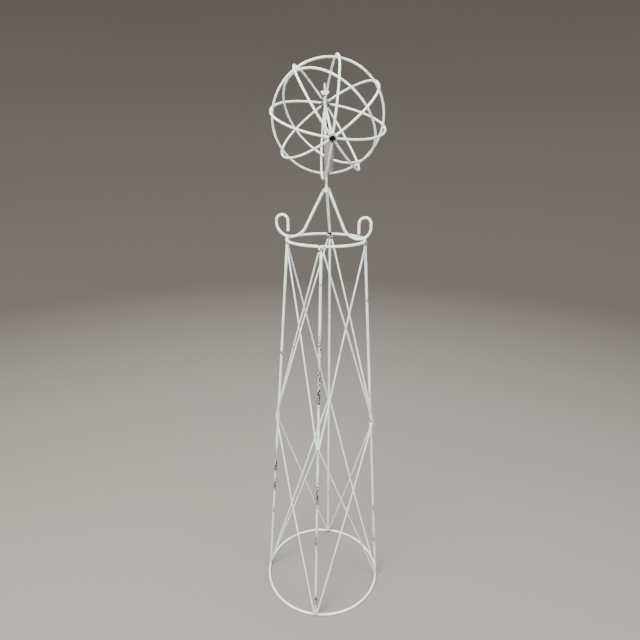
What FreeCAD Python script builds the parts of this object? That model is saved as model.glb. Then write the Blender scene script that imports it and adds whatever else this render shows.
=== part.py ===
import FreeCAD, Part
import math
import os

# Garden obelisk: a welded rod tower on a base ring, a roof of three rods, two with scrolls,
# and a wire ball that swivels on a mast that leans a little.  Millimetres, +Z up.
# The origin is on the ground, at the centre of the base ring.

V = FreeCAD.Vector
UP = V(0, 0, 1)

# ---- stock sizes --------------------------------------------------------------
ROD = 8.0                 # diameter of rings, uprights and roof rods
WIRE = 5.0                # diameter of the bent lattice wires
BALL_ROD = 6.0            # diameter of the ball's rings and ribs
MAST_ROD = 6.4            # diameter of the mast and of the ball's polar rod

# ---- tower ----------------------------------------------------------------------
BASE_RADIUS = 200.0       # base ring, to the middle of the rod
TOP_RADIUS = 117.0        # top ring, to the middle of the rod
BASE_Z = ROD / 2
TOP_Z = 1257.0
UPRIGHT_ANGLES = {"front": -90.0, "right": 0.0, "back": 90.0, "left": 180.0}
COPE_INSET = 1.5          # an upright stops this far short of the middle of a ring
KNOT_Z = {"front": 634.0, "right": 652.0, "back": 634.0, "left": 652.0}
WIRE_TOP_Z = 1240.0
WIRE_FOOT_Z = 15.0
WIRE_SIDE = (ROD + WIRE) / 2 + 0.1    # a wire end lies against the side of its upright
KNOT_OUT = 7.2            # a wire's bend stands this far outside the upright it rounds
KNOT_SIDE = 2.9           # and this far to the side that the wire comes from
CROSS_STEP = WIRE / 2 + 0.1           # crossing wires pass on either side of the panel
KNOT_BEND = 12.0
CROSS_BEND = 300.0

# ---- roof -----------------------------------------------------------------------
SCROLL_ANGLES = {"left": 180.0, "right": 0.0}
BACK_ROD_ANGLE = 90.0
APEX_RADIUS = MAST_ROD / 2 + ROD / 2 + 0.4
APEX_Z = 1407.0
SWEEP_R = 50.0            # bend from the straight slope down to the ring
TROUGH_R = {"left": 43.0, "right": 34.0}     # bend that rises outside the ring
TROUGH_X = {"left": 106.5, "right": 99.0}    # lowest point of the rod, out from the middle
CURL_RISE = {"left": 4.0, "right": 12.0}     # straight stretch between trough and curl
CURL_R = 17.5             # the scroll at the end
CURL_TAIL = 31.0          # straight end that hangs inside the curl
BACK_WELD_STEP = 4.0      # the back rod's weld sits this far in from and above the ring

# ---- mast -----------------------------------------------------------------------
MAST_LEAN = 1.6           # degrees to the left, about the apex of the roof
MAST_FOOT_Z = 1392.0
MAST_TOP_Z = 1683.0
THREAD = 6.0
COLLAR_Z = 1446.0
COLLAR_H = 3.0
COLLAR_D = 21.0
WING_NUT_Z = 1655.0
WING_NUT_D = 9.0
WING_NUT_H = 8.0
WING_SPAN = 23.0
WING_THICK = 2.2
WING_H = 7.0
NUT_BORE = THREAD + 0.1
WASHER_D = 18.0
WASHER_H = 1.6
WASHER_Z = WING_NUT_Z - WASHER_H - 0.3
THREAD_LENGTH = MAST_TOP_Z - WASHER_Z  # the washer rests on the shoulder of the mast

# ---- ball -----------------------------------------------------------------------
BALL_Z = 1592.0
RIB_RADIUS = 161.0
TOUCH_GAP = 0.05          # between rods that only touch
EQUATOR_RADIUS = RIB_RADIUS - BALL_ROD - TOUCH_GAP
INCLINED_RADIUS = EQUATOR_RADIUS - BALL_ROD - TOUCH_GAP
RIB_COUNT = 8
FIRST_RIB = 125.9         # degrees round the polar axis, from level towards the top
RIB_TRIM = (-1.5, 0.0, -2.0, 0.0, -2.0, 2.6, -2.0, 0.0)    # the ribs aren't quite evenly spaced
INCLINED_TILT = 43.5      # degrees between the inclined ring and the equator
POLE_DIP = 19.6           # the front pole dips this far below level
POLE_HEADING = -80.3      # plan direction of the front pole
MAST_OFFSET = 8.3         # the polar rod passes this far beside the mast
SOCKET_D = 27.0
SOCKET_BORE = 24.6
SOCKET_FOOT_Z = COLLAR_Z + COLLAR_H + 0.3
SOCKET_RING_Z = 1541.0    # the tube is a whole ring up to here
TONGUE_TOP_Z = 1597.0     # a strip of its rear wall goes on up to the polar rod
TONGUE_HALF = 22.0        # half the strip's width, in degrees round the tube
HUB_D = 18.0
FRONT_BORE = 15.8         # the open socket at the front pole
REAR_BORE = 14.0          # a closed stub of thicker pipe at the rear pole
HUB_SPAN = (150.0, 171.0)             # along the polar axis, from the ball's centre
PLATE_H = 3.0
HUB_BEAD_OUT = 3.6        # a hub's weld beads sit this far outside its wall

# ---- weld beads -------------------------------------------------------------------
BEAD_FOOT = 7.4
BEAD_TOP = 7.4
BEAD_KNOT = 6.6
BEAD_CROSS = 4.2
BEAD_ROOF = 6.4
BEAD_APEX = 10.5
BEAD_BALL = 5.2
BEAD_HUB = 4.4
BEAD_INCLINED = 4.8
BEAD_TUBE = 4.6


def polar(angle, radius, z):
    """A point at a plan angle in degrees, a radius and a height."""
    a = math.radians(angle)
    return V(radius * math.cos(a), radius * math.sin(a), z)


def upright_radius(z):
    """Radius of an upright's middle line at a height."""
    return BASE_RADIUS + (TOP_RADIUS - BASE_RADIUS) * (z - BASE_Z) / (TOP_Z - BASE_Z)


def beside_upright(angle, z, out, side):
    """A point near an upright: out from its middle line, and to one side of it."""
    a = math.radians(angle)
    tangent = V(-math.sin(a), math.cos(a), 0)
    return polar(angle, upright_radius(z) + out, z) + tangent * side


def swept_rod(edges, diameter):
    """A round rod along a chain of edges that meet without corners."""
    path = Part.Wire(edges)
    start = edges[0].valueAt(edges[0].FirstParameter)
    along = edges[0].tangentAt(edges[0].FirstParameter)
    section = Part.Wire(Part.makeCircle(diameter / 2, start, along))
    return path.makePipeShell([section], True, False)


def rounded_path(points, bends):
    """Straight runs between points, with an arc of the given radius at each inner point."""
    edges = []
    at = points[0]
    for before, corner, after, bend in zip(points, points[1:], points[2:], bends):
        back = (before - corner).normalize()
        ahead = (after - corner).normalize()
        half = back.getAngle(ahead) / 2
        reach = bend / math.tan(half)
        first = corner + back * reach
        last = corner + ahead * reach
        middle = (back + ahead).normalize()
        centre = corner + middle * (bend / math.sin(half))
        nearest = centre - middle * bend
        edges.append(Part.LineSegment(at, first).toShape())
        edges.append(Part.Arc(first, nearest, last).toShape())
        at = last
    edges.append(Part.LineSegment(at, points[-1]).toShape())
    return edges


def ring(radius, z):
    return Part.makeTorus(radius, ROD / 2, V(0, 0, z), UP)


def round_bar(start, end, diameter):
    along = end - start
    return Part.makeCylinder(diameter / 2, along.Length, start, along)


def beads(points, radius):
    """Weld beads as one group of separate solids."""
    return Part.makeCompound([Part.makeSphere(radius, p) for p in points])


def make_upright(angle, rings):
    foot = polar(angle, BASE_RADIUS, BASE_Z)
    head = polar(angle, TOP_RADIUS, TOP_Z)
    along = (head - foot).normalize()
    bar = round_bar(foot + along * COPE_INSET, head - along * COPE_INSET, ROD)
    for other in rings:
        bar = bar.cut(other)
    return bar


def panel_crossing(start, end, mid_angle, step):
    """Where a run from start to end meets the middle of its panel, moved out by step."""
    a = math.radians(mid_angle)
    across = V(-math.sin(a), math.cos(a), 0)
    outward = V(math.cos(a), math.sin(a), 0)
    share = start.dot(across) / (start.dot(across) - end.dot(across))
    return start + (end - start) * share + outward * step


def wire_points(home, away, step):
    """A lattice wire: from the head of one upright, round its neighbour, to the foot."""
    home_angle = UPRIGHT_ANGLES[home]
    away_angle = UPRIGHT_ANGLES[away]
    turn = math.sin(math.radians(away_angle - home_angle))
    mid_angle = home_angle + 45.0 * turn
    head = beside_upright(home_angle, WIRE_TOP_Z, 0, WIRE_SIDE * turn)
    knot = beside_upright(away_angle, KNOT_Z[away], KNOT_OUT, -KNOT_SIDE * turn)
    foot = beside_upright(home_angle, WIRE_FOOT_Z, 0, WIRE_SIDE * turn)
    upper = panel_crossing(head, knot, mid_angle, step)
    lower = panel_crossing(knot, foot, mid_angle, step)
    return [head, upper, knot, lower, foot]


def make_wire(points):
    bends = [CROSS_BEND, KNOT_BEND, CROSS_BEND]
    return swept_rod(rounded_path(points, bends), WIRE)


def trough_height(side):
    """Height of the middle of the trough bend, whose rod rests on the top ring."""
    reach = TROUGH_R[side] + ROD
    return TOP_Z + math.sqrt(reach ** 2 - (TOP_RADIUS - TROUGH_X[side]) ** 2)


def make_roof_rod(side):
    """Slope from the apex, trough on the top ring, then a scroll with a hanging end."""
    trough_x, trough_r = TROUGH_X[side], TROUGH_R[side]
    trough_z = trough_height(side)
    low_z = trough_z - trough_r
    sweep = (trough_x, low_z + SWEEP_R)
    dx = sweep[0] - APEX_RADIUS
    dz = sweep[1] - APEX_Z
    heading = math.atan2(dz, dx) - math.asin(SWEEP_R / math.hypot(dx, dz))
    touch = (sweep[0] + SWEEP_R * math.sin(heading), sweep[1] - SWEEP_R * math.cos(heading))
    mid = (sweep[0] + SWEEP_R * math.sin(heading / 2), sweep[1] - SWEEP_R * math.cos(heading / 2))
    half = math.sqrt(0.5)
    rise_x = trough_x + trough_r
    curl_z = trough_z + CURL_RISE[side]
    curl_x = rise_x - CURL_R
    tail_x = rise_x - 2 * CURL_R

    def at(x, z):
        return polar(SCROLL_ANGLES[side], x, z)

    edges = [
        Part.LineSegment(at(APEX_RADIUS, APEX_Z), at(*touch)).toShape(),
        Part.Arc(at(*touch), at(*mid), at(trough_x, low_z)).toShape(),
        Part.Arc(at(trough_x, low_z),
                 at(trough_x + trough_r * half, trough_z - trough_r * half),
                 at(rise_x, trough_z)).toShape(),
        Part.LineSegment(at(rise_x, trough_z), at(rise_x, curl_z)).toShape(),
        Part.Arc(at(rise_x, curl_z), at(curl_x, curl_z + CURL_R), at(tail_x, curl_z)).toShape(),
        Part.LineSegment(at(tail_x, curl_z), at(tail_x, curl_z - CURL_TAIL)).toShape(),
    ]
    return swept_rod(edges, ROD)


def roof_touch(side):
    """Where a scrolled roof rod touches the top ring."""
    share = (ROD / 2) / (TROUGH_R[side] + ROD)
    x = TOP_RADIUS + (TROUGH_X[side] - TOP_RADIUS) * share
    return polar(SCROLL_ANGLES[side], x, TOP_Z + (trough_height(side) - TOP_Z) * share)


def make_back_rod(top_ring):
    """The straight roof rod at the back, its foot shaped to the top ring."""
    head = polar(BACK_ROD_ANGLE, APEX_RADIUS, APEX_Z)
    foot = polar(BACK_ROD_ANGLE, TOP_RADIUS, TOP_Z)
    along = (head - foot).normalize()
    return round_bar(foot + along * COPE_INSET, head, ROD).cut(top_ring)


def make_mast():
    shank_top = MAST_TOP_Z - THREAD_LENGTH
    shank = Part.makeCylinder(MAST_ROD / 2, shank_top - MAST_FOOT_Z, V(0, 0, MAST_FOOT_Z))
    thread = Part.makeCylinder(THREAD / 2, THREAD_LENGTH, V(0, 0, shank_top))
    mast = shank.fuse(thread).removeSplitter()
    tip = [e for e in mast.Edges if abs(e.BoundBox.ZMin - MAST_TOP_Z) < 0.01]
    return mast.makeChamfer(0.6, tip)


def make_disc(diameter, bore, height, z):
    outer = Part.makeCylinder(diameter / 2, height, V(0, 0, z))
    return outer.cut(Part.makeCylinder(bore / 2, height + 2, V(0, 0, z - 1)))


def make_wing_nut():
    """A round hub with two upright wings whose outer corners are rounded."""
    hub = Part.makeCone(WING_NUT_D / 2 + 0.6, WING_NUT_D / 2, WING_NUT_H, V(0, 0, WING_NUT_Z))
    wings = Part.makeBox(WING_SPAN, WING_THICK, WING_H,
                         V(-WING_SPAN / 2, -WING_THICK / 2, WING_NUT_Z + 1))
    upright = [e for e in wings.Edges
               if abs(e.Length - WING_THICK) < 0.01]
    wings = wings.makeFillet(2.4, upright)
    nut = hub.fuse(wings).removeSplitter()
    return nut.cut(Part.makeCylinder(NUT_BORE / 2, 30, V(0, 0, WING_NUT_Z - 5)))


def ball_placement():
    """From the ball's own frame, with its polar axis along Z, to its place on the mast."""
    dip = math.radians(POLE_DIP)
    heading = math.radians(POLE_HEADING)
    pole = V(math.cos(heading) * math.cos(dip), math.sin(heading) * math.cos(dip), -math.sin(dip))
    right = UP.cross(pole).normalize()
    high = pole.cross(right)
    centre = right * MAST_OFFSET + UP * BALL_Z
    return FreeCAD.Placement(FreeCAD.Matrix(
        right.x, high.x, pole.x, centre.x,
        right.y, high.y, pole.y, centre.y,
        right.z, high.z, pole.z, centre.z,
        0, 0, 0, 1))


def rib_direction(index):
    """Direction across the polar axis of one rib, in the ball's own frame."""
    a = math.radians(FIRST_RIB - index * 360.0 / RIB_COUNT + RIB_TRIM[index])
    return V(math.cos(a), math.sin(a), 0)


def make_rib(index):
    """Half a circle from one hub to the other, with its ends shaped to the hubs."""
    across = rib_direction(index)
    pole = V(0, 0, 1)
    start = math.asin((HUB_D / 2 - 1.0) / RIB_RADIUS)

    def at(a):
        return pole * (RIB_RADIUS * math.cos(a)) + across * (RIB_RADIUS * math.sin(a))

    arc = Part.Arc(at(start), at(math.pi / 2), at(math.pi - start)).toShape()
    rib = swept_rod([arc], BALL_ROD)
    hub_space = Part.makeCylinder(HUB_D / 2, 2 * HUB_SPAN[1], V(0, 0, -HUB_SPAN[1]))
    return rib.cut(hub_space)


def make_hub(side, bore_d):
    """A short pipe along the polar axis."""
    start = V(0, 0, side * HUB_SPAN[0])
    length = HUB_SPAN[1] - HUB_SPAN[0]
    outer = Part.makeCylinder(HUB_D / 2, length, start, V(0, 0, side))
    return outer.cut(Part.makeCylinder(bore_d / 2, length, start, V(0, 0, side)))


def make_plate(side):
    """The disc that closes a hub's inner end, between the hub and the polar rod."""
    start = V(0, 0, side * (HUB_SPAN[0] - PLATE_H))
    return Part.makeCylinder(HUB_D / 2, PLATE_H, start, V(0, 0, side))


def make_polar_rod():
    half = HUB_SPAN[0] - PLATE_H
    return round_bar(V(0, 0, -half), V(0, 0, half), MAST_ROD)


def make_inclined_ring():
    ring_shape = Part.makeTorus(INCLINED_RADIUS, BALL_ROD / 2)
    ring_shape.rotate(V(0, 0, 0), rib_direction(0), -INCLINED_TILT)
    return ring_shape


def make_socket_tube(polar_rod):
    """The tube that drops over the mast, with a strip of wall up to the polar rod."""
    right = ball_placement().Rotation.multVec(V(1, 0, 0))
    foot = right * MAST_OFFSET + UP * SOCKET_FOOT_Z
    height = TONGUE_TOP_Z - SOCKET_FOOT_Z
    tube = Part.makeCylinder(SOCKET_D / 2, height, foot)
    tube = tube.cut(Part.makeCylinder(SOCKET_BORE / 2, height, foot))
    cleared = Part.makeCylinder(SOCKET_D, TONGUE_TOP_Z - SOCKET_RING_Z, V(0, 0, 0), UP,
                                360.0 - 2 * TONGUE_HALF)
    cleared.rotate(V(0, 0, 0), UP, POLE_HEADING + 180.0 + TONGUE_HALF)
    cleared.translate(right * MAST_OFFSET + UP * SOCKET_RING_Z)
    return tube.cut(cleared).cut(polar_rod)


def placed(shape):
    """A ball piece in the whole object's frame, before the mast's lean."""
    moved = shape.copy()
    moved.transformShape(ball_placement().toMatrix())
    return moved


def leaned(shape):
    """A piece that follows the lean of the mast."""
    moved = shape.copy()
    moved.rotate(V(0, 0, APEX_Z), V(0, 1, 0), -MAST_LEAN)
    return moved


def tower_nodes():
    """Rings, uprights, lattice, roof and their welds."""
    nodes = {}
    nodes["base_ring"] = ring(BASE_RADIUS, BASE_Z)
    nodes["top_ring"] = ring(TOP_RADIUS, TOP_Z)
    rings = [nodes["base_ring"], nodes["top_ring"]]
    for side, angle in UPRIGHT_ANGLES.items():
        nodes["upright_" + side] = make_upright(angle, rings)

    order = list(UPRIGHT_ANGLES)
    crossings = []
    for i, home in enumerate(order):
        for away in (order[(i + 1) % 4], order[(i + 3) % 4]):
            step = CROSS_STEP if home in ("front", "back") else -CROSS_STEP
            points = wire_points(home, away, step)
            nodes["lattice_%s_to_%s" % (home, away)] = make_wire(points)
            if step > 0:
                outward = V(points[1].x, points[1].y, 0).normalize()
                crossings += [points[1] - outward * step, points[3] - outward * step]

    for side in SCROLL_ANGLES:
        nodes["roof_rod_" + side] = make_roof_rod(side)
    nodes["roof_rod_back"] = make_back_rod(nodes["top_ring"])

    angles = UPRIGHT_ANGLES
    nodes["foot_welds"] = beads(
        [beside_upright(a, BASE_Z + ROD * 0.8, 0, 0) for a in angles.values()], BEAD_FOOT)
    nodes["head_welds"] = beads(
        [beside_upright(a, TOP_Z - ROD * 0.9, 0, 0) for a in angles.values()], BEAD_TOP)
    nodes["knot_welds"] = beads(
        [beside_upright(a, KNOT_Z[side], ROD / 2, 0) for side, a in angles.items()], BEAD_KNOT)
    nodes["crossing_welds"] = beads(crossings, BEAD_CROSS)
    back = polar(BACK_ROD_ANGLE, TOP_RADIUS - BACK_WELD_STEP, TOP_Z + BACK_WELD_STEP)
    nodes["roof_foot_welds"] = beads([roof_touch(side) for side in SCROLL_ANGLES] + [back],
                                     BEAD_ROOF)
    nodes["apex_weld"] = beads([V(0, 0, APEX_Z - 5)], BEAD_APEX)
    return nodes


def mast_nodes():
    """The mast and what is on it, before the lean."""
    return {
        "mast": make_mast(),
        "mast_collar": make_disc(COLLAR_D, MAST_ROD, COLLAR_H, COLLAR_Z),
        "wing_nut": make_wing_nut(),
        "wing_nut_washer": make_disc(WASHER_D, THREAD, WASHER_H, WASHER_Z),
    }


def ball_nodes():
    """Every piece that turns with the ball, before the lean."""
    nodes = {}
    polar_rod = placed(make_polar_rod())
    nodes["polar_rod"] = polar_rod
    nodes["socket_tube"] = make_socket_tube(polar_rod)
    for name, side, bore_d in (("front", 1, FRONT_BORE), ("rear", -1, REAR_BORE)):
        nodes[name + "_hub"] = placed(make_hub(side, bore_d))
        nodes[name + "_hub_plate"] = placed(make_plate(side))
        near_pole = [rib_direction(i) * (HUB_D / 2 + HUB_BEAD_OUT) + V(0, 0, side * RIB_RADIUS)
                     for i in range(0, RIB_COUNT, 2)]
        nodes[name + "_hub_welds"] = placed(beads(near_pole, BEAD_HUB))
    for index in range(RIB_COUNT):
        nodes["ball_rib_%d" % (index + 1)] = placed(make_rib(index))
    nodes["equator_ring"] = placed(Part.makeTorus(EQUATOR_RADIUS, BALL_ROD / 2))
    nodes["inclined_ring"] = placed(make_inclined_ring())

    knots = [rib_direction(i) * (RIB_RADIUS - BALL_ROD / 2) for i in range(RIB_COUNT)]
    nodes["ball_knot_welds"] = placed(beads(knots, BEAD_BALL))
    crossing = rib_direction(0) * (EQUATOR_RADIUS - BALL_ROD / 2)
    nodes["inclined_ring_welds"] = placed(beads([crossing, crossing * -1], BEAD_INCLINED))
    wall = (SOCKET_D + SOCKET_BORE) / 4 / math.cos(math.radians(POLE_DIP))
    nodes["tube_weld"] = placed(beads([V(0, 0, -wall)], BEAD_TUBE))
    return nodes


def build():
    """Every piece, by the name of its node."""
    nodes = tower_nodes()
    for name, shape in list(mast_nodes().items()) + list(ball_nodes().items()):
        nodes[name] = leaned(shape)
    return nodes


os.makedirs("parts", exist_ok=True)
for name, shape in build().items():
    if not shape.isValid():
        raise ValueError("bad solid: " + name)
    shape.exportStep("parts/%s.step" % name)
    print("%-24s %2d solid(s) %10.1f mm3" % (name, len(shape.Solids), shape.Volume))
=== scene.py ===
import math

import bpy
import numpy as np
from bpy.props import FloatProperty, FloatVectorProperty
from mathutils import Matrix, Vector


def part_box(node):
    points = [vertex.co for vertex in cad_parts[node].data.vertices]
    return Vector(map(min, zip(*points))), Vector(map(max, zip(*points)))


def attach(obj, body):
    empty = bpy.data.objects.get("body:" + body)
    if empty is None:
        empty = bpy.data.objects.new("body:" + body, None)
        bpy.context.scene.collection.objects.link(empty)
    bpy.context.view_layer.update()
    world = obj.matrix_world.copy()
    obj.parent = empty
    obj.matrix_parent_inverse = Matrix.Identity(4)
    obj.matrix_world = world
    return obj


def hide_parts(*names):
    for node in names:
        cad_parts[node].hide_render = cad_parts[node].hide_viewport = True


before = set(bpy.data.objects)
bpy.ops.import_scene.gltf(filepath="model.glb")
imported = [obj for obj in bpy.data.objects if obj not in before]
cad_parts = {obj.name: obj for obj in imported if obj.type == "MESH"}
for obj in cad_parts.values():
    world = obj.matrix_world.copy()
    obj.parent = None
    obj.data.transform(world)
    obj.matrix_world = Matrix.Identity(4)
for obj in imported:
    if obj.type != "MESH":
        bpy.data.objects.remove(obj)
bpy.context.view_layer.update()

bl_info = {
    "name": "Garden Obelisk",
    "version": (1, 0, 0),
    "blender": (4, 5, 0),
    "location": "3D View > Sidebar > Obelisk",
    "description": "Builds a brush-painted wire obelisk with a ball that turns on its mast",
    "category": "Add Mesh",
}

SIDES = 24                 # facets round a rod
STEP = 0.003               # spacing of sections along a rod
CUT_EDGE = 0.12            # rounding of a rod's cut end, as a share of its diameter
PATTERN_SHIFT = 0.37       # keeps each piece's pattern apart from the next one's
UP = np.array([0.0, 0.0, 1.0])
UPRIGHT_ANGLES = {"front": -90.0, "right": 0.0, "back": 90.0, "left": 180.0}
SCROLL_ANGLES = {"left": 180.0, "right": 0.0}
BACK_ANGLE = 90.0
RIBS = 8
RIB_TRIM = (-1.5, 0.0, -2.0, 0.0, -2.0, 2.6, -2.0, 0.0)   # degrees that each rib is out of place


# ---- small helpers ---------------------------------------------------------------

def linear(code):
    """An sRGB hex colour as linear red, green and blue."""
    share = np.array([int(code[i:i + 2], 16) for i in (0, 2, 4)]) / 255
    low = share / 12.92
    high = ((share + 0.055) / 1.055) ** 2.4
    return tuple(np.where(share <= 0.04045, low, high).tolist())


def unit(vector):
    return vector / np.linalg.norm(vector, axis=-1, keepdims=True)


def polar(angle, radius, z):
    """A point at a plan angle in degrees, a radius and a height."""
    a = math.radians(angle)
    return np.array([radius * math.cos(a), radius * math.sin(a), z])


def whole_mm(value):
    """A length read off the frame's faceted meshes, as the whole millimetres it was drawn to."""
    return round(value, 3)


def half_width(node):
    low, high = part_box(node)
    return (high.x - low.x) / 2


def middle_height(node):
    low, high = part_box(node)
    return (high.z + low.z) / 2


# ---- sizes and colours that a user would change -------------------------------------

ROD = 0.008
BALL_ROD = 0.006


def length(name, default, description):
    return FloatProperty(name=name, description=description, default=default,
                         min=0.0, unit="LENGTH", precision=4)


def angle(name, degrees, description):
    return FloatProperty(name=name, description=description, default=math.radians(degrees),
                         unit="ROTATION")


def colour(name, code, description):
    return FloatVectorProperty(name=name, description=description, default=linear(code),
                               size=3, subtype="COLOR", min=0.0, max=1.0)


def share(name, default, description):
    return FloatProperty(name=name, description=description, default=default,
                         min=0.0, max=1.0, subtype="FACTOR")


class TowerSizes(bpy.types.PropertyGroup):
    rod: length("Rod", ROD, "Diameter of the rings, uprights and roof rods")
    wire: length("Wire", 0.005, "Diameter of the bent lattice wires")
    base_radius: length("Base radius", whole_mm(half_width("base_ring") - ROD / 2),
                        "Base ring, to the middle of the rod")
    base_height: length("Base height", whole_mm(middle_height("base_ring")),
                        "Middle of the base ring's rod above the ground")
    top_radius: length("Top radius", whole_mm(half_width("top_ring") - ROD / 2),
                       "Top ring, to the middle of the rod")
    top_height: length("Top height", whole_mm(middle_height("top_ring")),
                       "Middle of the top ring's rod above the ground")
    knot_height: length("Knot height", 0.634, "Where wires round the front and back uprights")
    side_knot_height: length("Side knot height", 0.652,
                             "Where wires round the left and right uprights")
    wire_top: length("Wire top", 1.240, "Height of the lattice wires' upper ends")
    wire_foot: length("Wire foot", 0.015, "Height of the lattice wires' lower ends")
    knot_out: length("Knot out", 0.0072, "How far a wire's bend stands outside its upright")
    knot_side: length("Knot side", 0.0029, "How far a wire's bend stands to its own side")
    knot_bend: length("Knot bend", 0.012, "Radius of a wire's bend at an upright")
    cross_bend: length("Cross bend", 0.300, "Radius of a wire's slight bend where two cross")


class RoofSizes(bpy.types.PropertyGroup):
    apex_height: length("Apex height", 1.407, "Where the roof rods meet the mast")
    sweep_radius: length("Sweep radius", 0.050, "Bend from the slope down to the ring")
    left_trough: length("Left trough", 0.043, "Bend that rises outside the ring on the left")
    left_out: length("Left trough out", 0.1065, "Lowest point of the left rod, out from the mast")
    left_rise: length("Left rise", 0.004, "Straight stretch below the left scroll")
    right_trough: length("Right trough", 0.034, "Bend that rises outside the ring on the right")
    right_out: length("Right trough out", 0.099, "Lowest point of the right rod, out from the mast")
    right_rise: length("Right rise", 0.012, "Straight stretch below the right scroll")
    curl_radius: length("Curl radius", 0.0175, "Bend of the scroll")
    curl_tail: length("Curl tail", 0.031, "Straight end that hangs inside the scroll")
    apex_sink: length("Apex sink", 0.0024, "How far a roof rod's upper end runs into its weld")


class MastSizes(bpy.types.PropertyGroup):
    lean: angle("Lean", 1.6, "How far the mast leans to the left, about the roof's apex")
    foot: length("Foot", 1.392, "Height of the mast's foot")
    tip: length("Tip", 1.683, "Height of the mast's tip")
    shoulder: length("Shoulder", 1.6531, "Where the thread starts")
    rod: length("Mast rod", 0.0064, "Diameter of the mast")
    thread: length("Thread", 0.006, "Outer diameter of the mast's thread")
    pitch: length("Pitch", 0.0010, "Rise of the thread in one turn")
    thread_depth: length("Thread depth", 0.0005, "From crest to root")
    collar: length("Collar", 0.021, "Diameter of the collar that the ball stands on")
    collar_height: length("Collar height", 1.446, "Underside of the collar")
    collar_thick: length("Collar thickness", 0.003, "Thickness of the collar")
    washer: length("Washer", 0.018, "Diameter of the washer under the nut")
    washer_thick: length("Washer thickness", 0.0016, "Thickness of the washer under the nut")
    nut_height: length("Nut height", 1.655, "Underside of the wing nut")
    nut_tall: length("Nut", 0.008, "Height of the wing nut's hub")
    nut_hub: length("Nut hub", 0.0096, "Diameter of the wing nut's hub")
    nut_span: length("Nut span", 0.023, "From tip to tip of the wings")
    wing_thick: length("Wing thickness", 0.0022, "Thickness of a wing")


class BallSizes(bpy.types.PropertyGroup):
    rod: length("Ball rod", BALL_ROD, "Diameter of the ball's rings and ribs")
    radius: length("Radius", 0.1610, "From the ball's centre to the middle of a rib")
    centre_height: length("Centre height", 1.592, "Height of the ball's centre")
    mast_offset: length("Mast offset", 0.0083, "How far the polar rod passes beside the mast")
    dip: angle("Pole dip", 19.6, "How far the front pole dips below level")
    heading: angle("Pole heading", -80.3, "Plan direction of the front pole")
    first_rib: angle("First rib", 125.9, "Place of the first rib round the polar axis")
    tilt: angle("Inclined ring", 43.5, "Between the inclined ring and the equator")
    tube: length("Socket tube", 0.027, "Outer diameter of the tube on the mast")
    tube_bore: length("Socket bore", 0.0246, "Inner diameter of the tube on the mast")
    tube_foot: length("Tube foot", 1.4493, "Height of the tube's foot")
    tube_ring: length("Tube ring", 1.541, "The tube is a whole ring up to here")
    tongue_top: length("Tongue top", 1.5942, "A strip of its rear wall reaches the polar rod here")
    tongue_half: angle("Tongue half", 22.0, "Half the strip's width, round the tube")
    hub: length("Hub", 0.018, "Outer diameter of the pipes at the poles")
    front_bore: length("Front bore", 0.0158, "Inner diameter of the front pipe")
    rear_bore: length("Rear bore", 0.014, "Inner diameter of the rear pipe")
    hub_start: length("Hub start", 0.150, "Inner end of a pipe, from the centre")
    hub_end: length("Hub end", 0.171, "Mouth of a pipe, from the centre")
    plate: length("Plate", 0.003, "Thickness of the disc that closes a pipe's inner end")


class PaintLook(bpy.types.PropertyGroup):
    paint: colour("Paint", "EEFAF6", "Fresh off-white enamel")
    aged: colour("Aged paint", "D8E3DC", "Chalked and slightly greened enamel")
    stain: colour("Stain", "A9987C", "Rust that has bled into the paint beside a chip")
    rust: colour("Rust", "6A4430", "Dry rust on open steel")
    scale: colour("Scale", "231A16", "Dark scale left in the middle of a chip")
    pipe: colour("Pipe", "8B877E", "Thin grey-beige remains of paint on the pipes")
    worn_pipe: colour("Worn pipe", "625C53", "Weathered steel between them")
    chips: share("Chips", 0.5, "How much paint is missing where nothing rubbed it")


class StageLook(bpy.types.PropertyGroup):
    floor: colour("Floor", "7E7974", "Floor and wall of the stage")
    air: colour("Surroundings", "9A9590", "Soft light from all round")


# ---- skins: a surface as points, faces, and what its finish follows ---------------------

def skin(points, quads, tris, lay, wear):
    """One closed surface.  lay is where each point lies for the patterns: along the rod and
    across it.  wear is how rubbed the paint is there, from 0 to 1."""
    return {"points": points, "quads": quads, "tris": tris, "lay": lay, "wear": wear}


def volume(points, tris):
    """Signed volume: a sixth of the sum over triangles of a . (b x c)."""
    a, b, c = (points[tris[:, i]] for i in range(3))
    return float(np.sum(a * np.cross(b, c)) / 6)


def facing_out(made):
    """The same skin with its faces turned so that they point outwards."""
    quads, tris = made["quads"], made["tris"]
    halves = np.concatenate([tris, quads[:, [0, 1, 2]], quads[:, [0, 2, 3]]])
    if volume(made["points"] - made["points"].mean(0), halves) < 0:
        made["quads"] = quads[:, ::-1]
        made["tris"] = tris[:, ::-1]
    return made


def grid_quads(rows, columns, wrap):
    """Faces between neighbouring rows and columns of a grid whose columns close on themselves,
    and whose rows do too where wrap is true."""
    i = np.arange(rows if wrap else rows - 1)[:, None]
    j = np.arange(columns)[None, :]
    beside = (j + 1) % columns
    above = (i + 1) % rows
    corners = [i * columns + j, i * columns + beside, above * columns + beside, above * columns + j]
    return np.stack(np.broadcast_arrays(*corners), -1).reshape(-1, 4)


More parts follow.
